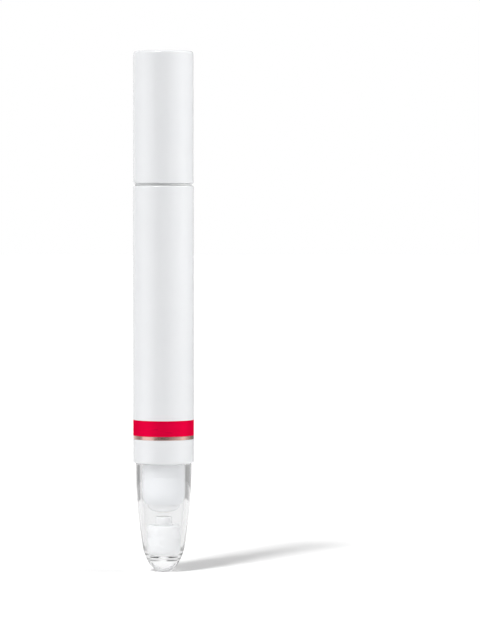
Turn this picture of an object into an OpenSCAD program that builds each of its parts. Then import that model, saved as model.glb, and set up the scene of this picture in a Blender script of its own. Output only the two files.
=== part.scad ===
// Nail oil pen: a slim valve pen with a pull-off cap over its tip, an oil vial in the barrel,
// and a clear end cover that stores two spare tips. Pressing the tip opens the oil valve.
// It stands on the foot of the end cover, with the tip up. Origin: centre of the foot, +Z up
// the pen. Lengths are in millimetres.

/* [Body] */
// Outside diameter of the barrel and the collar
body_d = 15; // [14.6:0.1:16.5]
// Length of the barrel tube
barrel_l = 62.4; // [60:0.1:75]
// Wall of the barrel tube
barrel_wall = 1; // [0.8:0.05:1.2]
// Height of the white collar between the barrel and the end cover
collar_l = 6; // [5:0.1:8]
// Radius on the lower edge of the collar
collar_edge_r = 0.45; // [0.2:0.05:0.8]
// Small radius on the other visible edges
edge_r = 0.3; // [0.15:0.05:0.4]

/* [Colour bands] */
// Height of the red band
red_band_h = 3.9; // [2:0.1:6]
// Height of the copper line under it
copper_line_h = 0.85; // [0.5:0.05:1.2]
// Depth of the recess that the two bands lie in
band_t = 0.12; // [0.08:0.01:0.2]

/* [Cap] */
// How far the cap's side lies inside the barrel's
cap_step = 0.05; // [0:0.01:0.3]
// Length of the cap
cap_l = 32.6; // [29:0.1:38]
// Side wall of the cap shell
cap_wall = 1.1; // [0.8:0.05:1.4]
// Thickness of the cap's closed end
cap_end_t = 1.4; // [1:0.1:2]
// Radius on the top edge of the cap
cap_edge_r = 0.7; // [0.3:0.05:1]
// Height of the grip ring inside the cap
cap_grip_h = 0.7; // [0.4:0.05:1]
// Free height over the liner, under the cap's closed end
cap_head_l = 4.2; // [3:0.1:6]
// Number of ribs that centre the liner in the cap
cap_rib_count = 8; // [4:1:12]
// Thickness of a rib
cap_rib_t = 0.8; // [0.5:0.1:1.2]
// Wall of the inner liner cup
liner_wall = 0.8; // [0.6:0.05:1]
// Free space between the felt nib and the end of the liner
liner_clear = 2.8; // [2.6:0.1:3.5]

/* [Front section] */
// Depth of the seam under the cap, where the flange shows
seam_depth = 0.5; // [0.3:0.05:0.8]
// Thickness of the flange
flange_t = 0.5; // [0.4:0.05:1]
// Length of the neck that the cap grips
neck_l = 6; // [5:0.1:7]
// Step from the neck in to the nose that the liner seals on
nose_step = 0.75; // [0.5:0.05:1]
// Length of the skirt inside the barrel
skirt_l = 12; // [10:0.5:15]
// Wall of the skirt, and of the end plug's spigot in the barrel
skirt_wall = 1.05; // [0.8:0.05:1.3]

/* [Tip] */
// Step from the nose in to the side of the tip holder
tip_step = 0.7; // [0.5:0.05:0.9]
// Radius between the holder's side and its end, as a share of its wall round the nib
tip_corner_share = 0.96; // [0.7:0.01:0.97]
// Length of the holder's neck
tip_neck_l = 2.1; // [1.8:0.1:2.4]
// Width of the holder's neck, as a share of the plunger's
tip_neck_share = 0.657; // [0.62:0.001:0.72]
// Width of the felt nib, as a share of the holder's
nib_share = 0.47; // [0.42:0.01:0.52]
// Width of the nib's tail, as a share of the neck around it
nib_tail_share = 0.585; // [0.5:0.005:0.65]
// How far the nib stands out beyond the holder's end
nib_proud = 0.4; // [0.2:0.1:0.8]

/* [Valve] */
// Travel of the tip when it is pressed
press_travel = 1.2; // [0.8:0.1:1.5]
// Width of the plunger's bore, as a share of the nose around it
nose_bore_share = 0.66; // [0.6:0.01:0.72]
// Length of the plunger's guide
plunger_guide_l = 7; // [5.6:0.1:8]
// Thickness of the wall that carries the seat
seat_wall_t = 1.6; // [1.2:0.1:2]
// Thickness of the valve gasket
gasket_t = 1; // [0.7:0.05:1.3]
// Width of the valve housing, as a share of the skirt's tube around it
housing_share = 0.58; // [0.5:0.01:0.65]
// Wall of the valve housing
housing_wall = 0.5; // [0.4:0.05:0.7]
// Depth of the valve housing under the gasket
housing_l = 11; // [10:0.1:12]
// Width of the valve head, as a share of the housing's bore
valve_head_share = 0.86; // [0.8:0.01:0.9]
// Width of the hole through the seat, as a share of the housing's bore
seat_hole_share = 0.63; // [0.55:0.01:0.7]
// Width of the plunger's rod, as a share of the housing's bore
rod_share = 0.4; // [0.35:0.01:0.45]
// Wire of the valve spring
spring_wire_d = 0.35; // [0.25:0.05:0.45]
// Turns of the valve spring
spring_turns = 6.5; // [5:0.5:8]

/* [Oil vial] */
// Wall of the vial
vial_wall = 0.8; // [0.6:0.05:1]
// Height of the air over the oil, under the skirt's tube
oil_headspace = 8.4; // [2:0.1:20]

/* [End cover] */
// Length of the clear end cover
cover_l = 26.8; // [23:0.1:31]
// Step from the collar in to the mouth of the end cover
cover_step = 0.6; // [0.4:0.05:1]
// Wall of the end cover at its mouth
cover_wall = 1.5; // [1.3:0.05:1.6]
// Thickness of the end cover over its foot
cover_floor_t = 3.45; // [2:0.05:4]
// Wall of the end cover round the lower spare tip, at the top of the rounded nose
cover_nose_wall = 1.05; // [0.85:0.05:1.3]
// Height of the rounded nose at its lower end
cover_nose_h = 6.5; // [5:0.1:8]
// Diameter of the flat foot
cover_foot_d = 2.4; // [1.8:0.1:4]
// Length of the solid part of the spigot, over the upper spare tip
spigot_l = 4.2; // [3.5:0.1:5]
// How much of the upper spare tip the spigot's sleeve covers, as a share of its height
sleeve_share = 0.72; // [0.4:0.01:0.75]

/* [Hidden] */

// Clearances: between fixed pieces, between sliding pieces, and where faces seat at rest
fit_gap = 0.03;
slide_gap = 0.08;
seat_gap = 0.05;
cut = 1; // overrun of every cut

// Facets of a whole turn, steps of a quarter arc, and steps along the cover's side
round_fn = 96;
arc_steps = 6;
side_steps = 12;

// Radii of the shells and of what fits in them, from the outside in
body_r = body_d / 2;
barrel_bore_r = body_r - barrel_wall;
skirt_r = barrel_bore_r - fit_gap;
vial_slot_r = skirt_r - skirt_wall;
vial_r = vial_slot_r - fit_gap;
vial_bore_r = vial_r - vial_wall;
plug_tube_r = vial_bore_r - fit_gap;
flange_r = body_r - seam_depth;
cap_r = body_r - cap_step;
cap_bore_r = cap_r - cap_wall;
neck_r = cap_bore_r - cap_grip_h - seat_gap;
nose_r = neck_r - nose_step;
tip_r = nose_r - tip_step;
cover_mouth_r = body_r - cover_step;
cover_bore_mouth_r = cover_mouth_r - cover_wall;

// Radii of the tip and of the valve, each from the piece that carries it
nose_bore_r = nose_r * nose_bore_share;
plunger_r = nose_bore_r - slide_gap;
tip_neck_r = plunger_r * tip_neck_share;
socket_r = tip_neck_r + fit_gap;
nib_r = tip_r * nib_share;
nib_bore_r = nib_r + fit_gap;
tip_corner_r = (tip_r - nib_bore_r) * tip_corner_share;
nib_tail_r = tip_neck_r * nib_tail_share;
tail_bore_r = nib_tail_r + fit_gap;
housing_r = plug_tube_r * housing_share;
housing_slot_r = housing_r + fit_gap;
housing_bore_r = housing_r - housing_wall;
valve_head_r = housing_bore_r * valve_head_share;
seat_hole_r = housing_bore_r * seat_hole_share;
rod_r = housing_bore_r * rod_share;

// Heights along the pen, from the foot up
collar_z = cover_l + seat_gap;
barrel_z = collar_z + collar_l;
flange_z = barrel_z + barrel_l;
neck_z = flange_z + flange_t;
nose_z = neck_z + neck_l;
cap_z = neck_z + seat_gap;
cap_top_z = cap_z + cap_l;
cap_end_z = cap_top_z - cap_end_t;
skirt_z = flange_z - skirt_l;

// Spare tips: the upper one plugs into the spigot and the lower one stands in the cover.
// The room that the cover leaves for the two sets how far a tip reaches over its shoulder.
spigot_z = collar_z - spigot_l;
upper_shoulder_z = spigot_z - seat_gap;
stack_gap = 0.9;
cover_floor_gap = 0.15;
spare_room = upper_shoulder_z - cover_floor_t - cover_floor_gap - tip_neck_l - stack_gap;
tip_h = spare_room / 2;
tip_skirt_h = tip_h - nib_proud - tip_corner_r;
lower_shoulder_z = cover_floor_t + cover_floor_gap + tip_h;
sleeve_z = upper_shoulder_z - tip_h * sleeve_share;
sleeve_round_h = tip_h * 0.37;

// Bore of the end cover: straight round the spigot and its sleeve, then tapered, from the rounded
// end of the sleeve down, to a round end that is a little wider than a tip
spare_gap = 0.1;
cover_bore_end_r = tip_r + spare_gap;
cover_bore_corner_r = tip_corner_r + spare_gap;
cover_bore_end_z = cover_floor_t + cover_bore_corner_r;
cover_bore_taper_z = sleeve_z + sleeve_round_h / 2;

// Side of the end cover: one long curve from the mouth, where it is upright, to the rounded nose
cover_nose_r = cover_bore_end_r + cover_nose_wall;
cover_side_l = cover_l - cover_nose_h;
cover_side_drop = cover_mouth_r - cover_nose_r;
cover_side_r = (pow(cover_side_l, 2) + pow(cover_side_drop, 2)) / (cover_side_drop * 2);

// Liner: it hangs under the cap's head, its end clear of the nib and its lip round the nose
liner_relief = 0.2;
liner_lip_r = nose_r + seat_gap;
liner_bore_r = liner_lip_r + liner_relief;
liner_out_r = liner_bore_r + liner_wall;
liner_pin_r = 2;
liner_mouth_z = nose_z + cap_wall;
liner_top_z = cap_end_z - cap_head_l;
liner_end_z = liner_top_z - liner_wall;

// Tip in use: under the liner, its shoulder clear of the nose by more than its travel
press_clear = 0.3;
holder_z = liner_end_z - liner_clear - tip_h;
shoulder_z = holder_z - seat_gap;
nose_top_z = shoulder_z - press_travel - press_clear;
guide_z = shoulder_z - plunger_guide_l;

// Plunger ring: an O-ring near the lower end of the plunger's guide
ring_w = 1;
ring_rise = 1.4;
ring_groove_r = plunger_r - ring_w * 0.75;
plunger_ring_z = guide_z + ring_rise;

// Valve: the rod runs bare from the guide down to the seat, and the housing hangs under it
channel_room = 4;
seat_top_z = guide_z - press_travel - channel_room;
seat_z = seat_top_z - seat_wall_t;
gasket_z = seat_z - fit_gap - gasket_t;
housing_top_z = gasket_z - fit_gap;
housing_z = housing_top_z - housing_l;
housing_floor_t = 1.2;
housing_floor_z = housing_z + housing_floor_t;
valve_top_z = gasket_z - fit_gap;
valve_disc_t = 1.3;
valve_hub_l = 2;
valve_hub_r = rod_r * 1.5;
valve_disc_z = valve_top_z - valve_disc_t;
valve_hub_z = valve_disc_z - valve_hub_l;

// Vial: it stands in the end plug and its mouth seals under the front section
slot_roof_t = 4.4;
slot_roof_z = flange_z - slot_roof_t;
vial_gasket_t = 0.5;
vial_top_z = slot_roof_z - fit_gap - vial_gasket_t - fit_gap;
plug_floor_t = 1.2;
plug_floor_z = collar_z + plug_floor_t;
vial_z = plug_floor_z + fit_gap;
vial_floor_t = 1;
vial_floor_z = vial_z + vial_floor_t;
plug_spigot_l = 7;
plug_top_z = barrel_z + plug_spigot_l;

function arc(cx, cz, r, from, to) =
    [for (i = [0:arc_steps]) let (a = from + (to - from) * i / arc_steps) [cx + r * cos(a), cz + r * sin(a)]];

module turned(outline) {
    rotate_extrude($fn = round_fn) polygon(outline);
}

module rod(r, from, to) {
    translate([0, 0, from]) cylinder(r = r, h = to - from, $fn = round_fn);
}

module ring(r_out, r_in, from, to) {
    difference() {
        rod(r_out, from, to);
        rod(r_in, from - cut, to + cut);
    }
}

// Snap beads hold the front section and the end plug in the barrel's grooves
bead_h = 0.12;
bead_w = 1;
groove_gap = 0.04;
section_bead_z = flange_z - skirt_l * 0.75;
plug_bead_z = barrel_z + plug_spigot_l / 2;

function bead(r, z, h, w) = [[r, z], [r + h, z + h], [r + h, z + w - h], [r, z + w]];
function reversed(list) = [for (i = [len(list) - 1:-1:0]) list[i]];

// Barrel: an open tube with a snap groove near each end and a recess for the two bands
module barrel() {
    band_top_z = barrel_z + copper_line_h + red_band_h;
    recess_r = body_r - band_t;
    groove_h = bead_h + groove_gap;
    groove_w = bead_w + groove_gap * 2;
    color([0.93, 0.935, 0.94]) turned(concat(
        [[barrel_bore_r, barrel_z], [recess_r, barrel_z], [recess_r, band_top_z], [body_r, band_top_z],
            [body_r, flange_z - edge_r]],
        arc(body_r - edge_r, flange_z - edge_r, edge_r, 0, 90),
        [[barrel_bore_r, flange_z]],
        reversed(bead(barrel_bore_r, section_bead_z - groove_gap, groove_h, groove_w)),
        reversed(bead(barrel_bore_r, plug_bead_z - groove_gap, groove_h, groove_w))
    ));
}

// Bands: transfer films that fill the recess flush with the barrel
module band(from, to) {
    ring(body_r, body_r - band_t + fit_gap, from, to);
}

module copper_line() {
    color([0.72, 0.5, 0.42]) band(barrel_z, barrel_z + copper_line_h);
}

module red_band() {
    from = barrel_z + copper_line_h;
    color([0.84, 0.03, 0.22]) band(from + fit_gap, from + red_band_h - fit_gap);
}

// Front section: skirt in the barrel, plug tube in the vial, flange, cap neck, nose, valve seat
module front_section() {
    lead = 0.4;
    nose_edge_r = 0.6;
    color([0.94, 0.94, 0.93]) turned(concat(
        [[vial_slot_r, skirt_z], [skirt_r - lead, skirt_z], [skirt_r, skirt_z + lead]],
        bead(skirt_r, section_bead_z, bead_h, bead_w),
        [[skirt_r, flange_z + fit_gap], [flange_r, flange_z + fit_gap], [flange_r, neck_z],
            [neck_r, neck_z], [neck_r, nose_z - nose_step], [nose_r, nose_z],
            [nose_r, nose_top_z - nose_edge_r]],
        arc(nose_r - nose_edge_r, nose_top_z - nose_edge_r, nose_edge_r, 0, 90),
        [[nose_bore_r, nose_top_z], [nose_bore_r, seat_top_z], [seat_hole_r, seat_top_z],
            [seat_hole_r, seat_z], [housing_slot_r, seat_z], [housing_slot_r, skirt_z],
            [plug_tube_r, skirt_z], [plug_tube_r, slot_roof_z], [vial_slot_r, slot_roof_z]]
    ));
}

// Valve gasket: a flat elastomer ring that the valve head closes on
module valve_gasket() {
    hole_r = seat_hole_r * 1.1;
    color([0.2, 0.2, 0.22]) ring(housing_r, hole_r, gasket_z, gasket_z + gasket_t);
}

// Valve housing: a cup that clamps the gasket, guides the spring and lets oil in through ports
module valve_housing() {
    port_count = 4;
    port_r = housing_bore_r * 0.2;
    port_pitch_r = housing_bore_r - port_r - fit_gap;
    color([0.9, 0.91, 0.9]) difference() {
        rod(housing_r, housing_z, housing_top_z);
        rod(housing_bore_r, housing_floor_z, housing_top_z + cut);
        for (i = [0:port_count - 1]) rotate(i * 360 / port_count) translate([port_pitch_r, 0, 0])
            rod(port_r, housing_z - cut, housing_floor_z + cut);
    }
}

// Valve spring: a steel coil between the valve head and the housing's floor
spring_rings_per_turn = 20;
spring_sides = 8;

function spring_point(r, wire_r, from, rise, turn, side) =
    let (a = side * 360 / spring_sides, out = r + wire_r * cos(a))
    [out * cos(turn * 360), out * sin(turn * 360), from + rise * turn / spring_turns + wire_r * sin(a)];

module valve_spring() {
    wire_r = spring_wire_d / 2;
    coil_r = valve_hub_r + slide_gap + wire_r;
    from = housing_floor_z + wire_r + fit_gap;
    rise = valve_disc_z - fit_gap - wire_r - from;
    rings = ceil(spring_turns * spring_rings_per_turn);
    n = spring_sides;
    points = [for (k = [0:rings]) for (s = [0:n - 1])
        spring_point(coil_r, wire_r, from, rise, spring_turns * k / rings, s)];
    walls = [for (k = [0:rings - 1]) for (s = [0:n - 1]) let (t = (s + 1) % n, next = (k + 1) * n)
        each [[next + t, k * n + t, k * n + s], [next + s, next + t, k * n + s]]];
    ends = [[for (s = [0:n - 1]) s], [for (s = [n - 1:-1:0]) rings * n + s]];
    color([0.75, 0.76, 0.78]) polyhedron(points, concat(walls, ends));
}

// Vial gasket: seals the vial's mouth under the front section
module vial_gasket() {
    from = vial_top_z + fit_gap;
    color([0.25, 0.25, 0.27]) ring(vial_r, vial_bore_r, from, from + vial_gasket_t);
}

// Oil vial: a long closed tube of natural plastic
module oil_vial() {
    foot_r = 0.5;
    color([0.88, 0.9, 0.9, 0.6]) turned(concat(
        [[0, vial_z]],
        arc(vial_r - foot_r, vial_z + foot_r, foot_r, -90, 0),
        [[vial_r, vial_top_z], [vial_bore_r, vial_top_z], [vial_bore_r, vial_floor_z], [0, vial_floor_z]]
    ));
}

// Oil charge: about 3 ml of oil, standing on the vial's floor with air over it
module oil_charge() {
    color([0.86, 0.72, 0.3, 0.8]) rod(vial_bore_r - fit_gap, vial_floor_z + fit_gap, skirt_z - oil_headspace);
}

// End plug: collar, hollow spigot in the barrel, and under the collar a spigot with a socket for
// the upper spare tip and a sleeve round the tip's sides, which curves in at its end
module end_plug() {
    lead = 0.4;
    spigot_r = cover_bore_mouth_r - seat_gap;
    sleeve_bore_r = tip_r + spare_gap;
    sleeve_drop = (spigot_r - sleeve_bore_r) * 0.82;
    sleeve_round_r = (pow(sleeve_round_h, 2) + pow(sleeve_drop, 2)) / (sleeve_drop * 2);
    sleeve_turn = asin(sleeve_round_h / sleeve_round_r);
    socket_top_z = spigot_z + tip_neck_l + seat_gap;
    socket_lead = 0.25;
    color([0.93, 0.935, 0.94]) turned(concat(
        [[0, plug_floor_z], [0, socket_top_z], [socket_r, socket_top_z], [socket_r, spigot_z + socket_lead],
            [socket_r + socket_lead, spigot_z], [sleeve_bore_r, spigot_z], [sleeve_bore_r, sleeve_z]],
        arc(spigot_r - sleeve_round_r, sleeve_z + sleeve_round_h, sleeve_round_r, -sleeve_turn, 0),
        [[spigot_r, collar_z]],
        arc(body_r - collar_edge_r, collar_z + collar_edge_r, collar_edge_r, -90, 0),
        [[body_r, barrel_z - fit_gap], [skirt_r, barrel_z - fit_gap]],
        bead(skirt_r, plug_bead_z, bead_h, bead_w),
        [[skirt_r, plug_top_z - lead], [skirt_r - lead, plug_top_z], [vial_slot_r, plug_top_z],
            [vial_slot_r, plug_floor_z]]
    ));
}

function cover_r(z) = cover_mouth_r - cover_side_r + sqrt(pow(cover_side_r, 2) - pow(cover_l - z, 2));

// End cover: clear, thick-walled, ogive outside, with a bore that tapers to a round end
module end_cover() {
    foot_r = cover_foot_d / 2;
    quarter = 90;
    nose_steps = 10;
    nose = [for (i = [0:nose_steps]) let (t = quarter * i / nose_steps, z = cover_nose_h * (1 - cos(t)))
        [foot_r + (cover_r(z) - foot_r) * sin(t), z]];
    side = [for (i = [1:side_steps - 1]) let (z = cover_nose_h + cover_side_l * i / side_steps)
        [cover_r(z), z]];
    rim_r = edge_r / 2;
    rim_z = cover_l - rim_r;
    rim = [[cover_r(rim_z), rim_z], [cover_mouth_r - rim_r, cover_l],
        [cover_bore_mouth_r + rim_r, cover_l], [cover_bore_mouth_r, rim_z]];
    color([0.9, 0.93, 0.95, 0.35]) turned(concat(
        [[0, 0]], nose, side, rim, [[cover_bore_mouth_r, cover_bore_taper_z]],
        arc(cover_bore_end_r - cover_bore_corner_r, cover_bore_end_z, cover_bore_corner_r, 0, -90),
        [[0, cover_floor_t]]
    ));
}

// Tip: a round-ended holder with a neck, and the felt nib with its tail. Local z = 0 is the
// shoulder.
nib_seat_z = 1.1;
tip_edge_r = 0.35;

module tip_holder() {
    neck_lead = 0.3;
    color([0.95, 0.955, 0.96]) turned(concat(
        [[tail_bore_r, -tip_neck_l], [tip_neck_r - neck_lead, -tip_neck_l],
            [tip_neck_r, neck_lead - tip_neck_l], [tip_neck_r, 0]],
        arc(tip_r - tip_edge_r, tip_edge_r, tip_edge_r, -90, 0),
        arc(tip_r - tip_corner_r, tip_skirt_h, tip_corner_r, 0, 90),
        [[nib_bore_r, tip_h - nib_proud], [nib_bore_r, nib_seat_z], [tail_bore_r, nib_seat_z]]
    ));
}

module felt_nib() {
    nose_h = nib_r * 0.45;
    quarter = 90;
    tail_gap = 0.1;
    color([0.98, 0.975, 0.96]) turned(concat(
        [[0, tail_gap - tip_neck_l], [nib_tail_r, tail_gap - tip_neck_l], [nib_tail_r, nib_seat_z + fit_gap],
            [nib_r, nib_seat_z + fit_gap]],
        [for (i = [0:arc_steps]) let (t = quarter * i / arc_steps)
            [nib_r * cos(t), tip_h - nose_h * (1 - sin(t))]]
    ));
}

module nose_up(shoulder) {
    translate([0, 0, shoulder]) children();
}

module nose_down(shoulder) {
    translate([0, 0, shoulder]) mirror([0, 0, 1]) children();
}

// Plunger: socket for the tip, guide in the nose, rod through the valve seat, oil channel
module plunger() {
    socket_floor_z = holder_z - tip_neck_l - seat_gap;
    rod_end_z = valve_hub_z + fit_gap;
    channel_r = rod_r / 2;
    hole_r = channel_r * 0.9;
    hole_z = seat_top_z + channel_room / 2;
    top_edge = 0.2;
    groove_z = plunger_ring_z - ring_w / 2;
    color([0.93, 0.93, 0.92]) difference() {
        turned([[0, rod_end_z], [rod_r, rod_end_z], [rod_r, guide_z], [plunger_r, guide_z],
            [plunger_r, groove_z], [ring_groove_r, groove_z], [ring_groove_r, groove_z + ring_w],
            [plunger_r, groove_z + ring_w],
            [plunger_r, shoulder_z - top_edge], [plunger_r - top_edge, shoulder_z],
            [socket_r, shoulder_z], [socket_r, socket_floor_z], [0, socket_floor_z]]);
        rod(channel_r, hole_z, socket_floor_z + cut);
        translate([-rod_r * 2, 0, hole_z]) rotate([0, 90, 0])
            cylinder(r = hole_r, h = rod_r * 4, $fn = round_fn);
    }
}

// Plunger ring: an elastomer O-ring in the plunger's groove, wiping the bore of the nose
module plunger_ring() {
    wire_r = (nose_bore_r - fit_gap - ring_groove_r - fit_gap) / 2;
    color([0.2, 0.2, 0.22]) translate([0, 0, plunger_ring_z]) rotate_extrude($fn = round_fn)
        translate([ring_groove_r + fit_gap + wire_r, 0]) circle(r = wire_r, $fn = round_fn);
}

// Valve head: a disc with a hub, pressed on the end of the rod
module valve_head() {
    disc_edge = 0.15;
    bore_r = rod_r + fit_gap;
    color([0.92, 0.92, 0.9]) turned([[bore_r, valve_hub_z], [valve_hub_r, valve_hub_z],
        [valve_hub_r, valve_disc_z], [valve_head_r, valve_disc_z], [valve_head_r, valve_top_z - disc_edge],
        [valve_head_r - disc_edge, valve_top_z], [bore_r, valve_top_z]]);
}

// Cap shell: closed tube with a grip ring near its mouth, centring ribs and a boss for the liner
module cap_shell() {
    mouth_lead = 0.4;
    inner_edge_r = 0.8;
    boss_gap = 0.3;
    grip_r = cap_bore_r - cap_grip_h;
    grip_w = 1.2;
    grip_z = cap_z + mouth_lead * 2 + cap_grip_h;
    boss_r = 3;
    boss_z = liner_top_z + boss_gap;
    rib_z = liner_mouth_z + cap_wall;
    rib_in_r = liner_out_r + fit_gap;
    color([0.93, 0.935, 0.94]) union() {
        turned(concat(
            [[cap_bore_r + mouth_lead, cap_z], [cap_r - edge_r, cap_z]],
            arc(cap_r - edge_r, cap_z + edge_r, edge_r, -90, 0),
            arc(cap_r - cap_edge_r, cap_top_z - cap_edge_r, cap_edge_r, 0, 90),
            [[0, cap_top_z], [0, cap_end_z]],
            reversed(arc(cap_bore_r - inner_edge_r, cap_end_z - inner_edge_r, inner_edge_r, 0, 90)),
            [[cap_bore_r, grip_z + grip_w + cap_grip_h], [grip_r, grip_z + grip_w], [grip_r, grip_z],
                [cap_bore_r, grip_z - cap_grip_h], [cap_bore_r, cap_z + mouth_lead]]
        ));
        ring(boss_r, liner_pin_r + fit_gap, boss_z, cap_end_z + cap_end_t / 2);
        for (i = [0:cap_rib_count - 1]) rotate(i * 360 / cap_rib_count)
            translate([rib_in_r, -cap_rib_t / 2, rib_z])
                cube([cap_bore_r - rib_in_r + cap_wall / 2, cap_rib_t, cap_end_z - rib_z + cap_end_t / 2]);
    }
}

// Cap liner: a soft cup whose lip seals round the nose, pinned in the cap shell's boss
module cap_liner() {
    lip_h = 1.4;
    corner_r = 1;
    pin_top_z = cap_end_z - seat_gap;
    color([0.92, 0.93, 0.93]) turned(concat(
        [[liner_lip_r, liner_mouth_z], [liner_out_r, liner_mouth_z]],
        arc(liner_out_r - corner_r, liner_top_z - corner_r, corner_r, 0, 90),
        [[liner_pin_r, liner_top_z], [liner_pin_r, pin_top_z], [0, pin_top_z], [0, liner_end_z]],
        reversed(arc(liner_bore_r - corner_r, liner_end_z - corner_r, corner_r, 0, 90)),
        [[liner_bore_r, liner_mouth_z + lip_h + liner_relief], [liner_lip_r, liner_mouth_z + lip_h]]
    ));
}

barrel();
red_band();
copper_line();
front_section();
valve_gasket();
valve_housing();
valve_spring();
vial_gasket();
oil_vial();
oil_charge();
end_plug();
nose_down(upper_shoulder_z) tip_holder();  // spare_holder_upper
nose_down(upper_shoulder_z) felt_nib();  // spare_nib_upper
plunger();
plunger_ring();
valve_head();
nose_up(holder_z) tip_holder();  // nib_holder
nose_up(holder_z) felt_nib();  // nib
cap_shell();
cap_liner();
end_cover();
nose_down(lower_shoulder_z) tip_holder();  // spare_holder_lower
nose_down(lower_shoulder_z) felt_nib();  // spare_nib_lower
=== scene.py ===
from math import cos, pi, radians, sin, tau

import bmesh
import bpy
from mathutils import Matrix, Vector


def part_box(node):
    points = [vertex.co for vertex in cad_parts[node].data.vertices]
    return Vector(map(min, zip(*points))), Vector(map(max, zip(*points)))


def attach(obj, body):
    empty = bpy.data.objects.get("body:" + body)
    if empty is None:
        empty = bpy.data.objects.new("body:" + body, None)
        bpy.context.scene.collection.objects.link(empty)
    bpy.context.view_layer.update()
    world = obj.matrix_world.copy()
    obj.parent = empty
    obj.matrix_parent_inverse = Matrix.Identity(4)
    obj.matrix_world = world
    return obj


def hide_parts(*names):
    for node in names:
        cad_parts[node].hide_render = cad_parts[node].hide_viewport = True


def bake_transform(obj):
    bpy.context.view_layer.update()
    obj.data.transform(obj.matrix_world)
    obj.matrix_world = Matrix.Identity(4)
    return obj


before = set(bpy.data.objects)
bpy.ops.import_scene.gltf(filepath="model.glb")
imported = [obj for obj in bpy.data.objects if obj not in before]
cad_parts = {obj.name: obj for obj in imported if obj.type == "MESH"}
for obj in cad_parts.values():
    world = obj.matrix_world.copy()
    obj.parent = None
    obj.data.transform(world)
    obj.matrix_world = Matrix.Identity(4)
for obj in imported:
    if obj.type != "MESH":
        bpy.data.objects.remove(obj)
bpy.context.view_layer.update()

# Barrel: a straight tube of polished white plastic with broken rims. A shallow seat near its
# lower end takes the two colour bands, and a groove near each end of its bore holds a snap bead.
mm = 0.001
micron = mm / 1000
flat_margin = 0.05
weld_gap = 0.0005
crease_angle = radians(35)


def span(node):
    """Radius, lowest level and highest level of a round CAD node, in millimetres."""
    low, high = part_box(node)
    return high.x / mm, low.z / mm, high.z / mm


def hold_flats(bm, straight):
    """Cuts each straight of an outline close to both its ends, so that it stays flat when shaded."""
    for edge in [e for e in bm.edges if e.calc_length() > straight]:
        first, last = edge.verts
        _, near_first = bmesh.utils.edge_split(edge, first, flat_margin / edge.calc_length())
        long_side = max(near_first.link_edges, key=lambda e: e.calc_length())
        bmesh.utils.edge_split(long_side, last, flat_margin / long_side.calc_length())


def turned(outline, steps=180, straight=0.25):
    """Spins (radius, height, rounding) points, in millimetres, into a closed round solid."""
    fewest_arc_steps = 4
    arc_steps_per_mm = 6
    bm = bmesh.new()
    corners = [bm.verts.new((radius, 0, height)) for radius, height, _ in outline]
    opens_on_axis = outline[0][0] == 0 and outline[-1][0] == 0
    for here, there in zip(corners, corners[1:] + corners[:1]):
        if not (opens_on_axis and there is corners[0]):
            bm.edges.new((here, there))
    for corner, (_, _, rounding) in zip(corners, outline):
        if rounding:
            bmesh.ops.bevel(
                bm,
                geom=[corner],
                offset=rounding,
                affect="VERTICES",
                segments=fewest_arc_steps + round(rounding * arc_steps_per_mm),
                profile=0.5,
                material=-1,
            )
    hold_flats(bm, straight)
    bmesh.ops.spin(
        bm,
        geom=bm.verts[:] + bm.edges[:],
        cent=(0, 0, 0),
        axis=(0, 0, 1),
        angle=tau,
        steps=steps,
        use_merge=True,
    )
    bmesh.ops.remove_doubles(bm, verts=bm.verts[:], dist=weld_gap)
    bmesh.ops.recalc_face_normals(bm, faces=bm.faces[:])
    return bm


def moulded(bm, name, material, nodes):
    """Makes a mesh in millimetres a smooth piece that stands for its CAD nodes."""
    bmesh.ops.scale(bm, vec=(mm, mm, mm), verts=bm.verts[:])
    mesh = bpy.data.meshes.new(name)
    bm.to_mesh(mesh)
    bm.free()
    mesh.shade_smooth()
    mesh.set_sharp_from_angle(angle=crease_angle)
    mesh.materials.append(material)
    piece = bpy.data.objects.new(name, mesh)
    bpy.context.scene.collection.objects.link(piece)
    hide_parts(*nodes)
    return piece


def finished(bm, name, material, body, nodes):
    """Makes a mesh in millimetres a piece that rides on a body in place of its CAD nodes."""
    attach(moulded(bm, name, material, nodes), body)


def noise(tree, size, stretch=(1, 1, 1), detail=2.0):
    """A noise over the piece itself, whose grains are about size metres across."""
    place = tree.nodes.new("ShaderNodeTexCoord")
    turn = tree.nodes.new("ShaderNodeMapping")
    turn.inputs["Scale"].default_value = stretch
    grain = tree.nodes.new("ShaderNodeTexNoise")
    grain.inputs["Scale"].default_value = 1 / size
    grain.inputs["Detail"].default_value = detail
    tree.links.new(place.outputs["Object"], turn.inputs["Vector"])
    tree.links.new(turn.outputs["Vector"], grain.inputs["Vector"])
    return grain.outputs["Fac"]


def spread(tree, source, low, high):
    """Brings a noise, which lies mostly between two levels, to the range from low to high."""
    noise_low = 0.3
    noise_high = 0.7
    scaled = tree.nodes.new("ShaderNodeMapRange")
    scaled.inputs["From Min"].default_value = noise_low
    scaled.inputs["From Max"].default_value = noise_high
    scaled.inputs["To Min"].default_value = low
    scaled.inputs["To Max"].default_value = high
    tree.links.new(source, scaled.inputs["Value"])
    return scaled.outputs["Result"]


def blended(tree, source, pale, deep):
    """Colour that drifts between two shades along a noise."""
    mix = tree.nodes.new("ShaderNodeMix")
    mix.data_type = "RGBA"
    mix.inputs["A"].default_value = (*pale, 1)
    mix.inputs["B"].default_value = (*deep, 1)
    tree.links.new(spread(tree, source, 0, 1), mix.inputs["Factor"])
    return mix.outputs["Result"]


def relief(tree, source, height):
    """A bump of a height in metres."""
    bump = tree.nodes.new("ShaderNodeBump")
    bump.inputs["Distance"].default_value = height
    tree.links.new(source, bump.inputs["Height"])
    return bump.outputs["Normal"]


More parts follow.
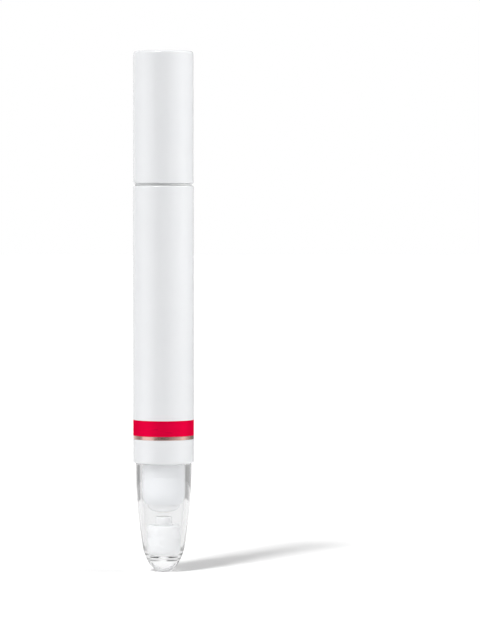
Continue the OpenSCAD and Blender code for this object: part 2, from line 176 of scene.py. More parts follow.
def new_finish(name):
    """A new material with its node tree and its Principled shader."""
    material = bpy.data.materials.new(name)
    material.use_nodes = True
    return material, material.node_tree, material.node_tree.nodes["Principled BSDF"]


def plastic(name, pale, deep, gloss, peel, ior=1.49):
    """Moulded plastic: colour drifts a little, and gloss and surface vary as the mould's polish."""
    drift_size = 9 * mm
    polish_size = 4 * mm
    peel_size = 1.2 * mm
    material, tree, shader = new_finish(name)
    shader.inputs["IOR"].default_value = ior
    colour = blended(tree, noise(tree, drift_size), pale, deep)
    tree.links.new(colour, shader.inputs["Base Color"])
    tree.links.new(spread(tree, noise(tree, polish_size), *gloss), shader.inputs["Roughness"])
    ripple = relief(tree, noise(tree, peel_size, detail=1.0), peel)
    tree.links.new(ripple, shader.inputs["Normal"])
    return material, shader


def bead(r, z, height, width):
    """A snap bead of sloping flanks on a wall of radius r, from z up."""
    flank = abs(height)
    crest_r = 0.05
    return [
        (r, z, 0),
        (r + height, z + flank, crest_r),
        (r + height, z + width - flank, crest_r),
        (r, z + width, 0),
    ]


body_r, barrel_z, rim_z = span("barrel")
_, _, band_top_z = span("red_band")
_, section_z, nose_top_z = span("front_section")
_, _, plug_top_z = span("end_plug")
barrel_wall = 1
band_t = 0.12
fit_gap = 0.03
bore_r = body_r - barrel_wall
band_seat_r = body_r - band_t
bead_h = 0.12
bead_w = 1
groove_gap = 0.04
groove_h = bead_h + groove_gap
groove_w = bead_w + groove_gap * 2
section_bead_rise = 3
plug_bead_rise = 3.5
section_bead_z = section_z + section_bead_rise
plug_bead_z = barrel_z + plug_bead_rise

polished_white, _ = plastic(
    "polished white plastic",
    pale=(0.875, 0.885, 0.9),
    deep=(0.86, 0.871, 0.888),
    gloss=(0.1, 0.16),
    peel=1.5 * micron,
)

barrel_tube = turned(
    [
        (bore_r, barrel_z, 0.1),
        (band_seat_r, barrel_z, 0.03),
        (band_seat_r, band_top_z + fit_gap, 0),
        (body_r, band_top_z + fit_gap, 0.03),
        (body_r, rim_z, 0.3),
        (bore_r, rim_z, 0.15),
        *reversed(bead(bore_r, section_bead_z - groove_gap, groove_h, groove_w)),
        *reversed(bead(bore_r, plug_bead_z - groove_gap, groove_h, groove_w)),
    ]
)
finished(barrel_tube, "barrel_tube", polished_white, "pen_body", ["barrel"])

# Red band: a hot-stamped film of metallic red lacquer, rolled into its seat flush with the
# barrel. The lacquer is smooth, with the faint streaks that the roller leaves round the pen.
red_foil, tree, shader = new_finish("red stamped film")
shader.inputs["Metallic"].default_value = 0.2
shader.inputs["Specular IOR Level"].default_value = 0
shader.inputs["Specular Tint"].default_value = (0.4, 0, 0.02, 1)
roller_streaks = noise(tree, 0.5 * mm, stretch=(0.08, 0.08, 1), detail=4.0)
tree.links.new(
    blended(tree, roller_streaks, pale=(0.84, 0.002, 0.052), deep=(0.8, 0.0015, 0.046)),
    shader.inputs["Base Color"],
)
tree.links.new(spread(tree, roller_streaks, low=0.27, high=0.34), shader.inputs["Roughness"])
tree.links.new(relief(tree, noise(tree, 0.3 * mm), height=0.6 * micron), shader.inputs["Normal"])

film_r = band_seat_r + fit_gap
film_edge_r = 0.02


def film_ring(node):
    """A ring of film as high as its CAD node, which fills the seat flush with the barrel."""
    _, low_z, high_z = span(node)
    return turned(
        [
            (film_r, low_z, 0),
            (body_r, low_z, film_edge_r),
            (body_r, high_z, film_edge_r),
            (film_r, high_z, 0),
        ]
    )


finished(film_ring("red_band"), "red_film", red_foil, "pen_body", ["red_band"])

# Copper line: a narrow ring of copper-coloured metal foil, just below the red film, with a thin
# clear coat. It mirrors the studio, blurred along the pen by the fine grain of the foil.
copper_foil, tree, shader = new_finish("copper stamped foil")
shader.inputs["Metallic"].default_value = 1
shader.inputs["Coat Weight"].default_value = 0.5
foil_grain = noise(tree, 0.15 * mm, stretch=(0.1, 0.1, 1), detail=3.0)
tree.links.new(
    blended(tree, foil_grain, pale=(0.86, 0.56, 0.48), deep=(0.8, 0.5, 0.43)),
    shader.inputs["Base Color"],
)
tree.links.new(spread(tree, foil_grain, low=0.16, high=0.24), shader.inputs["Roughness"])
tree.links.new(relief(tree, foil_grain, height=0.3 * micron), shader.inputs["Normal"])

copper_ring = film_ring("copper_line")
finished(copper_ring, "copper_ring", copper_foil, "pen_body", ["copper_line"])

# End plug: one white moulding that snaps into the barrel. Its collar carries on the line of the
# barrel. Under it a spigot holds the end cover, with a socket for a spare tip and a sleeve
# round the tip's sides.
_, sleeve_z, _ = span("end_plug")
cover_r, _, cover_top_z = span("end_cover")
tip_r, _, upper_neck_z = span("spare_holder_upper")
seat_gap = 0.05
spare_gap = 0.1
plug_floor_t = 1.2
skirt_wall = 1.05
cover_wall = 1.5
tip_neck_r = 2.05
tip_neck_l = 2.1
collar_z = cover_top_z + seat_gap
plug_floor_z = collar_z + plug_floor_t
skirt_r = bore_r - fit_gap
vial_slot_r = skirt_r - skirt_wall
cover_bore_r = cover_r - cover_wall
spigot_r = cover_bore_r - seat_gap
sleeve_bore_r = tip_r + spare_gap
sleeve_round_h = 2.96
sleeve_round_share = 0.82
sleeve_steps = 12
sleeve_drop = (spigot_r - sleeve_bore_r) * sleeve_round_share
sleeve_round_r = (sleeve_round_h**2 + sleeve_drop**2) / (sleeve_drop * 2)
socket_r = tip_neck_r + fit_gap
socket_top_z = upper_neck_z + seat_gap * 2
spigot_z = socket_top_z - tip_neck_l - seat_gap

sleeve_curve = [
    (
        spigot_r - sleeve_round_r + (sleeve_round_r**2 - h**2) ** 0.5,
        sleeve_z + sleeve_round_h - h,
        0,
    )
    for h in (sleeve_round_h * i / sleeve_steps for i in range(sleeve_steps, -1, -1))
]
end_plug = turned(
    [
        (0, plug_floor_z, 0),
        (0, socket_top_z, 0),
        (socket_r, socket_top_z, 0.1),
        (socket_r, spigot_z, 0.25),
        (sleeve_bore_r, spigot_z, 0.3),
        (sleeve_bore_r, sleeve_z, 0.06),
        *sleeve_curve,
        (spigot_r, collar_z, 0.05),
        (body_r, collar_z, 0.45),
        (body_r, barrel_z - fit_gap, 0.08),
        (skirt_r, barrel_z - fit_gap, 0),
        *bead(skirt_r, plug_bead_z, bead_h, bead_w),
        (skirt_r, plug_top_z, 0.35),
        (vial_slot_r, plug_top_z, 0.1),
        (vial_slot_r, plug_floor_z, 0.2),
    ]
)
finished(end_plug, "end_plug_moulding", polished_white, "pen_body", ["end_plug"])

# Tips: each is a round-ended holder of milky plastic with a felt nib pressed through it. One
# works under the cap, one spare is plugged into the spigot, and one stands in the end cover.
_, tip_shoulder_z, holder_top_z = span("nib_holder")
nib_r, _, nib_top_z = span("nib")
tip_shoulder_z += tip_neck_l
tip_h = nib_top_z - tip_shoulder_z
holder_h = holder_top_z - tip_shoulder_z
nib_tail_r = 1.2
nib_seat_h = 1.1
tail_short = 0.1
tip_corner_r = 2.08
tail_bore_r = nib_tail_r + fit_gap
nib_bore_r = nib_r + fit_gap


def tip_holder(shoulder_z, way):
    """The holder, on its shoulder at shoulder_z, with its round end up (way 1) or down (way -1)."""
    outline = [
        (tail_bore_r, -tip_neck_l, 0.1),
        (tip_neck_r, -tip_neck_l, 0.3),
        (tip_neck_r, 0, 0.1),
        (tip_r, 0, 0.35),
        (tip_r, holder_h, tip_corner_r),
        (nib_bore_r, holder_h, 0.06),
        (nib_bore_r, nib_seat_h, 0),
        (tail_bore_r, nib_seat_h, 0),
    ]
    return turned([(r, shoulder_z + way * z, rounding) for r, z, rounding in outline])


def felt_nib(shoulder_z, way):
    """The felt nib with its tail, in a holder whose shoulder is at shoulder_z."""
    outline = [
        (0, -tip_neck_l + tail_short, 0),
        (nib_tail_r, -tip_neck_l + tail_short, 0.15),
        (nib_tail_r, nib_seat_h + fit_gap, 0),
        (nib_r, nib_seat_h + fit_gap, 0),
        (nib_r, tip_h, 0.85),
        (0, tip_h, 0),
    ]
    return turned([(r, shoulder_z + way * z, rounding) for r, z, rounding in outline], steps=96)


milky_plastic, shader = plastic(
    "milky tip plastic",
    pale=(0.9, 0.905, 0.91),
    deep=(0.875, 0.88, 0.89),
    gloss=(0.2, 0.32),
    peel=2 * micron,
)
shader.inputs["Subsurface Weight"].default_value = 1
shader.inputs["Subsurface Radius"].default_value = (1.0, 1.0, 1.0)
shader.inputs["Subsurface Scale"].default_value = 1.5 * mm

white_felt, tree, shader = new_finish("white fibre felt")
shader.inputs["Sheen Weight"].default_value = 0.35
shader.inputs["Sheen Roughness"].default_value = 0.5
shader.inputs["Specular IOR Level"].default_value = 0.2
fibres = noise(tree, 0.12 * mm, stretch=(1, 1, 0.12), detail=5.0)
tree.links.new(
    blended(tree, fibres, pale=(0.92, 0.915, 0.9), deep=(0.78, 0.77, 0.75)),
    shader.inputs["Base Color"],
)
tree.links.new(spread(tree, fibres, low=0.75, high=0.95), shader.inputs["Roughness"])
tree.links.new(relief(tree, fibres, height=30 * micron), shader.inputs["Normal"])

_, upper_nose_z, _ = span("spare_nib_upper")
_, lower_nose_z, _ = span("spare_nib_lower")
tips = [
    ("nib_holder", "nib", tip_shoulder_z, 1, "tip_unit"),
    ("spare_holder_upper", "spare_nib_upper", upper_nose_z + tip_h, -1, "pen_body"),
    ("spare_holder_lower", "spare_nib_lower", lower_nose_z + tip_h, -1, "cover_unit"),
]
for holder, nib, shoulder_z, way, body in tips:
    finished(
        tip_holder(shoulder_z, way), holder + "_shell", milky_plastic, body, [holder]
    )
    finished(felt_nib(shoulder_z, way), nib + "_felt", white_felt, body, [nib])

# End cover: a thick, clear moulding with an ogive outside. Its bore is straight round the
# sleeve, then tapers to a round end. It is solid below that, and stands on a small flat foot.
# Little of the lamps' light passes straight through it, so its shadow is a full one.
nose_h = 6.5
foot_r = 1.2
floor_z = 3.45
nose_wall = 1.05
bore_end_r = sleeve_bore_r
bore_corner_r = tip_corner_r + spare_gap
taper_z = sleeve_z + sleeve_round_h / 2
nose_r = bore_end_r + nose_wall
side_l = cover_top_z - nose_h
side_drop = cover_r - nose_r
side_r = (side_l**2 + side_drop**2) / (side_drop * 2)
curve_steps = 28


def cover_side(z):
    """Outer radius of the end cover at height z, on its long curve."""
    return cover_r - side_r + (side_r**2 - (cover_top_z - z) ** 2) ** 0.5


quarter = [pi / 2 * i / curve_steps for i in range(curve_steps + 1)]
nose_curve = [
    (foot_r + (cover_side(z) - foot_r) * sin(t), z, 0)
    for t, z in ((t, nose_h * (1 - cos(t))) for t in quarter)
]
side_curve = [
    (cover_side(z), z, 0) for z in (nose_h + side_l * i / curve_steps for i in range(1, curve_steps))
]
bore_corner = [
    (
        bore_end_r - bore_corner_r * (1 - cos(t)),
        floor_z + bore_corner_r * (1 - sin(t)),
        0,
    )
    for t in quarter
]
end_cover = turned(
    [
        (0, 0, 0),
        *nose_curve,
        *side_curve,
        (cover_r, cover_top_z, 0.15),
        (cover_bore_r, cover_top_z, 0.15),
        (cover_bore_r, taper_z, 1.5),
        *bore_corner,
        (0, floor_z, 0),
    ],
    straight=1.5,
)

clear_plastic, shader = plastic(
    "clear plastic",
    pale=(0.965, 0.967, 0.97),
    deep=(0.955, 0.958, 0.962),
    gloss=(0.0, 0.02),
    peel=0.6 * micron,
    ior=1.5,
)
shader.inputs["Transmission Weight"].default_value = 1
tree = clear_plastic.node_tree
rays = tree.nodes.new("ShaderNodeLightPath")
passed_light = tree.nodes.new("ShaderNodeBsdfTransparent")
passed_light.inputs["Color"].default_value = (0.16, 0.165, 0.17, 1)
either = tree.nodes.new("ShaderNodeMixShader")
tree.links.new(rays.outputs["Is Shadow Ray"], either.inputs["Fac"])
tree.links.new(shader.outputs["BSDF"], either.inputs[1])
tree.links.new(passed_light.outputs["BSDF"], either.inputs[2])
tree.links.new(either.outputs["Shader"], tree.nodes["Material Output"].inputs["Surface"])
finished(end_cover, "clear_end_cover", clear_plastic, "cover_unit", ["end_cover"])

# Front section: one moulding in natural plastic. Its skirt snaps into the barrel, its flange
# shows as the dark seam under the cap, and its neck and nose carry the cap and the plunger.
_, _, gasket_top_z = span("valve_gasket")
seam_depth = 0.5
flange_t = 0.5
neck_r = 5.6
neck_l = 6
nose_step = 0.75
nose_bore_share = 0.66
seat_wall_t = 1.6
seat_hole_r = 1.35
vial_wall = 0.8
housing_share = 0.58
slot_roof_t = 4.4
flange_r = body_r - seam_depth
section_nose_r = neck_r - nose_step
nose_bore_r = section_nose_r * nose_bore_share
neck_z = rim_z + flange_t
nose_z = neck_z + neck_l
seat_z = gasket_top_z + fit_gap
seat_top_z = seat_z + seat_wall_t
plug_tube_r = vial_slot_r - vial_wall - fit_gap * 2
housing_slot_r = plug_tube_r * housing_share + fit_gap
slot_roof_z = rim_z - slot_roof_t

natural_plastic, _ = plastic(
    "natural satin plastic",
    pale=(0.82, 0.825, 0.82),
    deep=(0.78, 0.79, 0.785),
    gloss=(0.28, 0.4),
    peel=2.5 * micron,
)
nose_section = turned(
    [
        (vial_slot_r, section_z, 0.1),
        (skirt_r, section_z, 0.35),
        *bead(skirt_r, section_bead_z, bead_h, bead_w),
        (skirt_r, rim_z + fit_gap, 0),
        (flange_r, rim_z + fit_gap, 0.06),
        (flange_r, neck_z, 0.1),
        (neck_r, neck_z, 0.1),
        (neck_r, nose_z - nose_step, 0.3),
        (section_nose_r, nose_z, 0.2),
        (section_nose_r, nose_top_z, 0.6),
        (nose_bore_r, nose_top_z, 0.15),
        (nose_bore_r, seat_top_z, 0.2),
        (seat_hole_r, seat_top_z, 0.1),
        (seat_hole_r, seat_z, 0.1),
        (housing_slot_r, seat_z, 0.1),
        (housing_slot_r, section_z, 0.1),
        (plug_tube_r, section_z, 0.1),
        (plug_tube_r, slot_roof_z, 0),
        (vial_slot_r, slot_roof_z, 0),
    ]
)
finished(
    nose_section,
    "front_section_moulding",
    natural_plastic,
    "pen_body",
    ["front_section"],
)

# Cap shell: a closed white moulding. A grip ring inside its mouth snaps over the neck, ribs
# centre the liner, and a boss under the closed end holds the liner's pin.
cap_r, cap_z, cap_top_z = span("cap_shell")
liner_out_r, liner_mouth_z, _ = span("cap_liner")
cap_wall = 1.1
cap_end_t = 1.4
cap_head_l = 4.2
cap_bore_r = cap_r - cap_wall
cap_end_z = cap_top_z - cap_end_t
liner_top_z = cap_end_z - cap_head_l
grip_r = neck_r + seat_gap
grip_l = 1.2
grip_slope = 0.7
grip_rise = 1.5
grip_z = cap_z + grip_rise
pin_r = 2
boss_r = 3
boss_bore_r = pin_r + fit_gap
boss_rise = 0.3
boss_z = liner_top_z + boss_rise
rib_count = 8
rib_t = 0.8
rib_edge = 0.12
rib_z = liner_mouth_z + cap_wall
rib_in_r = liner_out_r + fit_gap
into_wall = 0.5
gate_r = 0.9
gate_slope = 0.25
gate_depth = 0.12

cap_shell = turned(
    [
        (cap_bore_r, cap_z, 0.3),
        (cap_r, cap_z, 0.3),
        (cap_r, cap_top_z, 0.7),
        (gate_r + gate_slope, cap_top_z, 0.1),
        (gate_r, cap_top_z - gate_depth, 0.05),
        (0, cap_top_z - gate_depth, 0),
        (0, cap_end_z, 0),
        (cap_bore_r, cap_end_z, 0.8),
        (cap_bore_r, grip_z + grip_l + grip_slope, 0.1),
        (grip_r, grip_z + grip_l, 0.2),
        (grip_r, grip_z, 0.2),
        (cap_bore_r, grip_z - grip_slope, 0.1),
    ]
)
boss = turned(
    [
        (boss_bore_r, boss_z, 0.1),
        (boss_r, boss_z, 0.15),
        (boss_r, cap_end_z + into_wall, 0),
        (boss_bore_r, cap_end_z + into_wall, 0),
    ],
    steps=64,
)
ribs = bmesh.new()
rib_h = cap_end_z + into_wall - rib_z
rib_depth = cap_bore_r + into_wall - rib_in_r
bmesh.ops.create_cube(ribs, size=1)
bmesh.ops.scale(ribs, vec=(rib_depth, rib_t, rib_h), verts=ribs.verts[:])
bmesh.ops.translate(
    ribs, vec=(rib_in_r + rib_depth / 2, 0, rib_z + rib_h / 2), verts=ribs.verts[:]
)
bmesh.ops.bevel(
    ribs,
    geom=ribs.edges[:],
    offset=rib_edge,
    affect="EDGES",
    segments=2,
    profile=0.5,
    material=-1,
)
bmesh.ops.spin(
    ribs,
    geom=ribs.verts[:] + ribs.edges[:] + ribs.faces[:],
    cent=(0, 0, 0),
    axis=(0, 0, 1),
    angle=tau * (rib_count - 1) / rib_count,
    steps=rib_count - 1,
    use_duplicate=True,
)
bmesh.ops.recalc_face_normals(ribs, faces=ribs.faces[:])
for part in (boss, ribs):
    loose = bpy.data.meshes.new("cap part")
    part.to_mesh(loose)
    part.free()
    cap_shell.from_mesh(loose)
    bpy.data.meshes.remove(loose)
finished(cap_shell, "cap_shell_moulding", polished_white, "cap_unit", ["cap_shell"])

# Cap liner: a softer cup whose lip seals round the nose, so that the nib stays moist. Its pin
# is pressed into the boss.
liner_wall = 0.8
liner_relief = 0.2
lip_h = 1.4
lip_r = section_nose_r + seat_gap
liner_bore_r = lip_r + liner_relief
liner_end_z = liner_top_z - liner_wall

soft_natural, _ = plastic(
    "soft natural plastic",
    pale=(0.85, 0.86, 0.865),
    deep=(0.81, 0.825, 0.83),
    gloss=(0.38, 0.5),
    peel=3 * micron,
)
liner = turned(
    [
        (lip_r, liner_mouth_z, 0.2),
        (liner_out_r, liner_mouth_z, 0.2),
        (liner_out_r, liner_top_z, 1),
        (pin_r, liner_top_z, 0.15),
        (pin_r, cap_end_z - seat_gap, 0.3),
        (0, cap_end_z - seat_gap, 0),
        (0, liner_end_z, 0),
        (liner_bore_r, liner_end_z, 1),
        (liner_bore_r, liner_mouth_z + lip_h + liner_relief, 0.1),
        (lip_r, liner_mouth_z + lip_h, 0.1),
    ]
)
finished(liner, "cap_liner_cup", soft_natural, "cap_unit", ["cap_liner"])


# Plunger, valve and housing: small satin mouldings in the front section. They keep the shapes
# of the CAD, and the plunger's head shows between the nose and the tip when the cap is off.
def dressed(node, material):
    """Gives a CAD node that keeps its shape its finish."""
    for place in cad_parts[node].material_slots:
        place.material = material


for node in ("plunger", "valve_head", "valve_housing"):
    dressed(node, natural_plastic)

# Seals: dark elastomer, moulded with a fine matt skin. They are the ring round the plunger, the
# gasket that the valve head closes on, and the one at the mouth of the vial.
elastomer, _ = plastic(
    "dark elastomer",
    pale=(0.05, 0.05, 0.055),
    deep=(0.035, 0.035, 0.04),
    gloss=(0.5, 0.65),
    peel=6 * micron,
    ior=1.52,
)
for node in ("plunger_ring", "valve_gasket", "vial_gasket"):
    dressed(node, elastomer)

# Valve spring: bright drawn steel wire, coiled. Its lower end rests on the housing, and its upper
# end goes down with the valve head. The die leaves faint lines along the wire.
drawn_steel, tree, shader = new_finish("bright drawn steel")
shader.inputs["Metallic"].default_value = 1
die_lines = noise(tree, 0.08 * mm, stretch=(1, 1, 0.2), detail=4.0)
tree.links.new(
    blended(tree, die_lines, pale=(0.7, 0.7, 0.69), deep=(0.6, 0.6, 0.6)),
    shader.inputs["Base Color"],
)
tree.links.new(spread(tree, die_lines, low=0.18, high=0.3), shader.inputs["Roughness"])
tree.links.new(relief(tree, die_lines, height=2 * micron), shader.inputs["Normal"])

spring_r, spring_low_z, spring_top_z = span("valve_spring")
wire_r = 0.175
wire_sides = 16
coil_r = spring_r - wire_r
spring_turns = 6.5
steps_per_turn = 40
wire_low_z = spring_low_z + wire_r
wire_rise = spring_top_z - wire_r - wire_low_z
spring_steps = round(spring_turns * steps_per_turn)
coil = bmesh.new()
bmesh.ops.create_circle(
    coil,
    cap_ends=True,
    segments=wire_sides,
    radius=wire_r,
    matrix=Matrix.Translation((coil_r, 0, wire_low_z)) @ Matrix.Rotation(pi / 2, 4, "X"),
)
bmesh.ops.spin(
    coil,
    geom=coil.verts[:] + coil.edges[:] + coil.faces[:],
    cent=(0, 0, 0),
    axis=(0, 0, 1),
    dvec=(0, 0, wire_rise / spring_steps),
    angle=tau * spring_turns,
    steps=spring_steps,
)
bmesh.ops.recalc_face_normals(coil, faces=coil.faces[:])
spring = moulded(coil, "valve_spring_coil", drawn_steel, ["valve_spring"])
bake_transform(spring)

# Oil vial: a natural, see-through tube that stands in the end plug. Its skin is smooth, and
# its colour is a little milky.
vial_plastic, shader = plastic(
    "natural vial plastic",
    pale=(0.9, 0.92, 0.92),
    deep=(0.86, 0.885, 0.885),
    gloss=(0.15, 0.25),
    peel=2 * micron,
    ior=1.51,
)
shader.inputs["Transmission Weight"].default_value = 0.6
dressed("oil_vial", vial_plastic)

# Oil charge: 3 ml of clear amber nail oil. It is filled in before the front section closes the
# barrel, and stands in the vial up to the air under its mouth.
amber_oil, shader = plastic(
    "amber oil",
    pale=(0.93, 0.76, 0.33),
    deep=(0.9, 0.7, 0.27),
    gloss=(0.0, 0.03),
    peel=0,
    ior=1.47,
)
shader.inputs["Transmission Weight"].default_value = 0.9
dressed("oil_charge", amber_oil)

# Floor: a plain pale sheet that runs far behind the pen and keeps its shadow. What the lamps
# leave short of white is made up for the eye and for mirrors, least at the foot, where the shadow
# is deepest. Through the clear cover it shows as an even glow, which also lights the spare tips.
lift_at_foot = 0.15
lift_far_out = 0.5
half_lift = 0.1
floor_seen = 0.9
spares_light = 1.5
floor_reach = 6


def seen_share(tree):
    """1 for a ray from the eye, a mirror or a clear body, and 0 for a ray that lights."""
    rays = tree.nodes.new("ShaderNodeLightPath")
    share = rays.outputs["Is Camera Ray"]
    for kind in ("Is Glossy Ray", "Is Transmission Ray"):
        either = tree.nodes.new("ShaderNodeMath")
        either.operation = "MAXIMUM"
        tree.links.new(share, either.inputs[0])
        tree.links.new(rays.outputs[kind], either.inputs[1])
        share = either.outputs["Value"]
    return share


def between(tree, share, low, high):
    """A number that goes from low to high with a share from 0 to 1."""
    scaled = tree.nodes.new("ShaderNodeMapRange")
    scaled.inputs["To Min"].default_value = low
    scaled.inputs["To Max"].default_value = high
    tree.links.new(share, scaled.inputs["Value"])
    return scaled.outputs["Result"]


def staged(bm, name, material):
    """Makes a mesh in metres a part of the studio."""
    mesh = bpy.data.meshes.new(name)
    bm.to_mesh(mesh)
    bm.free()
    mesh.materials.append(material)
    prop = bpy.data.objects.new(name, mesh)
    bpy.context.scene.collection.objects.link(prop)
    return prop


def around_spares(tree, seen, lighting):
    """Strength of what is round the clear cover, as it is seen and as it lights the spare tips."""
    rays = tree.nodes.new("ShaderNodeLightPath")
    return between(tree, rays.outputs["Diffuse Depth"], seen, lighting)


floor_paint, tree, shader = new_finish("pale floor")
shader.inputs["Base Color"].default_value = (0.9, 0.9, 0.9, 1)
shader.inputs["Roughness"].default_value = 1
shader.inputs["Specular IOR Level"].default_value = 0
shader.inputs["Emission Color"].default_value = (1, 1, 1, 1)
place = tree.nodes.new("ShaderNodeTexCoord")
reach = tree.nodes.new("ShaderNodeVectorMath")
reach.operation = "LENGTH"
tree.links.new(place.outputs["Object"], reach.inputs[0])
longer = tree.nodes.new("ShaderNodeMath")
longer.inputs[1].default_value = half_lift
tree.links.new(reach.outputs["Value"], longer.inputs[0])
outward = tree.nodes.new("ShaderNodeMath")
outward.operation = "DIVIDE"
tree.links.new(reach.outputs["Value"], outward.inputs[0])
tree.links.new(longer.outputs["Value"], outward.inputs[1])
seen_lift = tree.nodes.new("ShaderNodeMath")
seen_lift.operation = "MULTIPLY"
lift = between(tree, outward.outputs["Value"], lift_at_foot, lift_far_out)
tree.links.new(lift, seen_lift.inputs[0])
tree.links.new(seen_share(tree), seen_lift.inputs[1])
tree.links.new(seen_lift.outputs["Value"], shader.inputs["Emission Strength"])
rays = tree.nodes.new("ShaderNodeLightPath")
shown_floor = tree.nodes.new("ShaderNodeEmission")
tree.links.new(around_spares(tree, floor_seen, spares_light), shown_floor.inputs["Strength"])
either = tree.nodes.new("ShaderNodeMixShader")
tree.links.new(rays.outputs["Is Transmission Ray"], either.inputs["Fac"])
tree.links.new(shader.outputs["BSDF"], either.inputs[1])
tree.links.new(shown_floor.outputs["Emission"], either.inputs[2])
tree.links.new(either.outputs["Shader"], tree.nodes["Material Output"].inputs["Surface"])
floor_sheet = bmesh.new()
bmesh.ops.create_grid(floor_sheet, x_segments=1, y_segments=1, size=floor_reach)
staged(floor_sheet, "floor", floor_paint)

# Studio walls: a ring that only mirrors and bent light see round the pen, so its glow is painted
# reflection. A mirror sees a painted bright box on each side and a painted dark room in front. The
# clear cover sees two painted dim places low down behind the pen, and plain white above them.
wall_r = 0.18
wall_h = 0.3
wall_foot_z = mm
dim_top_z = 0.03
white_from_z = 0.05
wall_seen = 1


def round_wall(tree, stops):
    """Brightness round the pen, from stops of (degrees right of the camera, brightness)."""
    place = tree.nodes.new("ShaderNodeTexCoord")
    parts = tree.nodes.new("ShaderNodeSeparateXYZ")
    tree.links.new(place.outputs["Object"], parts.inputs["Vector"])
    forward = tree.nodes.new("ShaderNodeMath")
    forward.operation = "MULTIPLY"
    forward.inputs[1].default_value = -1
    tree.links.new(parts.outputs["Y"], forward.inputs[0])
    turn = tree.nodes.new("ShaderNodeMath")
    turn.operation = "ARCTAN2"
    tree.links.new(parts.outputs["X"], turn.inputs[0])
    tree.links.new(forward.outputs["Value"], turn.inputs[1])
    share = tree.nodes.new("ShaderNodeMapRange")
    share.inputs["From Min"].default_value = -pi
    share.inputs["From Max"].default_value = pi
    tree.links.new(turn.outputs["Value"], share.inputs["Value"])
    ramp = tree.nodes.new("ShaderNodeValToRGB")
    marks = ramp.color_ramp.elements
    for degrees, brightness in sorted(stops, key=lambda stop: -abs(stop[0])):
        at_end = abs(degrees) == 180
        mark = marks[degrees > 0] if at_end else marks.new(degrees / 360 + 0.5)
        mark.color = (brightness, brightness, brightness, 1)
    tree.links.new(share.outputs["Result"], ramp.inputs["Fac"])
    return ramp.outputs["Color"]


mirrored = [
    (-180, 0.85),
    (-146, 0.85),
    (-118, 0.45),
    (-100, 0.3),
    (-93, 0.35),
    (-83, 0.95),
    (-66, 1),
    (-44, 0.85),
    (-31, 0.25),
    (-12, 0.12),
    (10, 0.12),
    (24, 0.28),
    (50, 0.5),
    (64, 0.65),
    (76, 0.95),
    (88, 0.85),
    (102, 0.5),
    (128, 0.25),
    (152, 0.2),
    (180, 0.85),
]
shown_through = [
    (-180, 1),
    (-175, 1),
    (-171, 0.25),
    (-144, 0.3),
    (-136, 0.72),
    (-122, 0.78),
    (-112, 1),
    (112, 1),
    (122, 0.4),
    (158, 0.4),
    (168, 0.7),
    (174, 1),
    (180, 1),
]
wall_glow = bpy.data.materials.new("studio wall")
wall_glow.use_nodes = True
tree = wall_glow.node_tree
tree.nodes.clear()
rays = tree.nodes.new("ShaderNodeLightPath")
which = tree.nodes.new("ShaderNodeMix")
which.data_type = "RGBA"
tree.links.new(rays.outputs["Is Transmission Ray"], which.inputs["Factor"])
tree.links.new(round_wall(tree, mirrored), which.inputs["A"])
place = tree.nodes.new("ShaderNodeTexCoord")
parts = tree.nodes.new("ShaderNodeSeparateXYZ")
tree.links.new(place.outputs["Object"], parts.inputs["Vector"])
higher = tree.nodes.new("ShaderNodeMapRange")
higher.inputs["From Min"].default_value = dim_top_z
higher.inputs["From Max"].default_value = white_from_z
tree.links.new(parts.outputs["Z"], higher.inputs["Value"])
whiter = tree.nodes.new("ShaderNodeMix")
whiter.data_type = "RGBA"
whiter.inputs["B"].default_value = (1, 1, 1, 1)
tree.links.new(higher.outputs["Result"], whiter.inputs["Factor"])
tree.links.new(round_wall(tree, shown_through), whiter.inputs["A"])
tree.links.new(whiter.outputs["Result"], which.inputs["B"])
glow = tree.nodes.new("ShaderNodeEmission")
# Painted light: after a matt bounce, as off the spare tips in the cover, the ring glows half as
# bright again and lights them.
tree.links.new(around_spares(tree, wall_seen, spares_light), glow.inputs["Strength"])
tree.links.new(which.outputs["Result"], glow.inputs["Color"])
surface = tree.nodes.new("ShaderNodeOutputMaterial")
tree.links.new(glow.outputs["Emission"], surface.inputs["Surface"])
wall_ring = bmesh.new()
bmesh.ops.create_circle(wall_ring, segments=96, radius=wall_r)
bmesh.ops.translate(wall_ring, vec=(0, 0, wall_foot_z), verts=wall_ring.verts[:])
raised = bmesh.ops.extrude_edge_only(wall_ring, edges=wall_ring.edges[:])
bmesh.ops.translate(
    wall_ring,
    vec=(0, 0, wall_h),
    verts=[v for v in raised["geom"] if isinstance(v, bmesh.types.BMVert)],
)
walls = staged(wall_ring, "studio_walls", wall_glow)
walls.visible_camera = False
walls.visible_diffuse = False
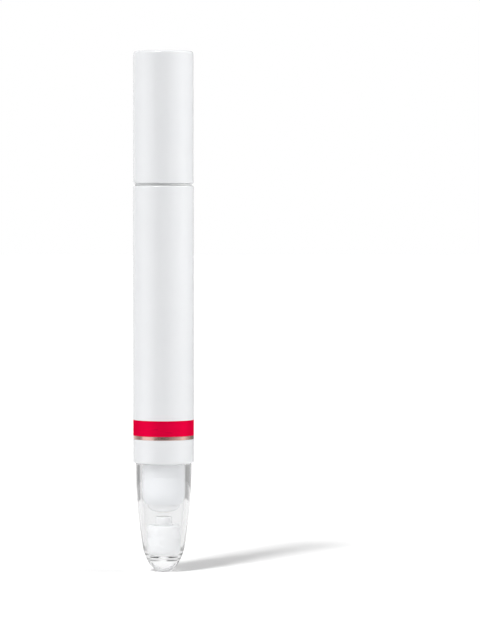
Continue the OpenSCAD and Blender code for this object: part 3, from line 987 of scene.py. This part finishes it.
walls.visible_shadow = False

# Light: a high key lamp in front on the left throws the short shadow, two upright soft boxes
# light the sides, and the studio's white surround fills the rest.
key_from = Vector((-46, -71, 128))
key = bpy.data.lights.new("key", "SUN")
key.energy = 2.4
key.angle = radians(11)
key_lamp = bpy.data.objects.new("key", key)
key_lamp.rotation_euler = key_from.to_track_quat("Z", "Y").to_euler()
bpy.context.scene.collection.objects.link(key_lamp)

box_away = 0.7
box_h = 0.8
box_z = 0.28
box_aim = Vector((0, 0, 0.07))
boxes = [
    ("left box", -92, 0.35, 1.6),
    ("right box", 85, 0.5, 4.5),
]
for name, azimuth, width, power in boxes:
    lamp = bpy.data.lights.new(name, "AREA")
    lamp.shape = "RECTANGLE"
    lamp.size = width
    lamp.size_y = box_h
    lamp.energy = power
    turn = radians(azimuth)
    place = Vector((sin(turn) * box_away, -cos(turn) * box_away, box_z))
    box = bpy.data.objects.new(name, lamp)
    box.location = place
    box.rotation_euler = (place - box_aim).to_track_quat("Z", "Y").to_euler()
    box.visible_glossy = False
    box.visible_transmission = False
    bpy.context.scene.collection.objects.link(box)

surround_fill = 0.05
surround = bpy.data.worlds.new("white surround")
bpy.context.scene.world = surround
surround.use_nodes = True
tree = surround.node_tree
background = tree.nodes["Background"]
background.inputs["Color"].default_value = (1, 1, 1, 1)
tree.links.new(
    between(tree, seen_share(tree), surround_fill, 1), background.inputs["Strength"]
)

# Camera: a long lens 0.8 m in front of the pen, at the height of the upper barrel. It is turned a
# little down and to the right, so that the pen stands left of the middle as in the photograph.
eye_away = 0.8
eye_z = 0.0885
turned_down = radians(1.885)
turned_right = radians(1.353)
camera = bpy.data.cameras.new("camera")
camera.lens = 182.3
camera.sensor_width = 36
eye = bpy.data.objects.new("camera", camera)
eye.location = (0, -eye_away, eye_z)
eye.rotation_euler = (pi / 2 - turned_down, 0, -turned_right)
bpy.context.scene.collection.objects.link(eye)
bpy.context.scene.camera = eye

scene = bpy.context.scene
scene.view_settings.view_transform = "Standard"
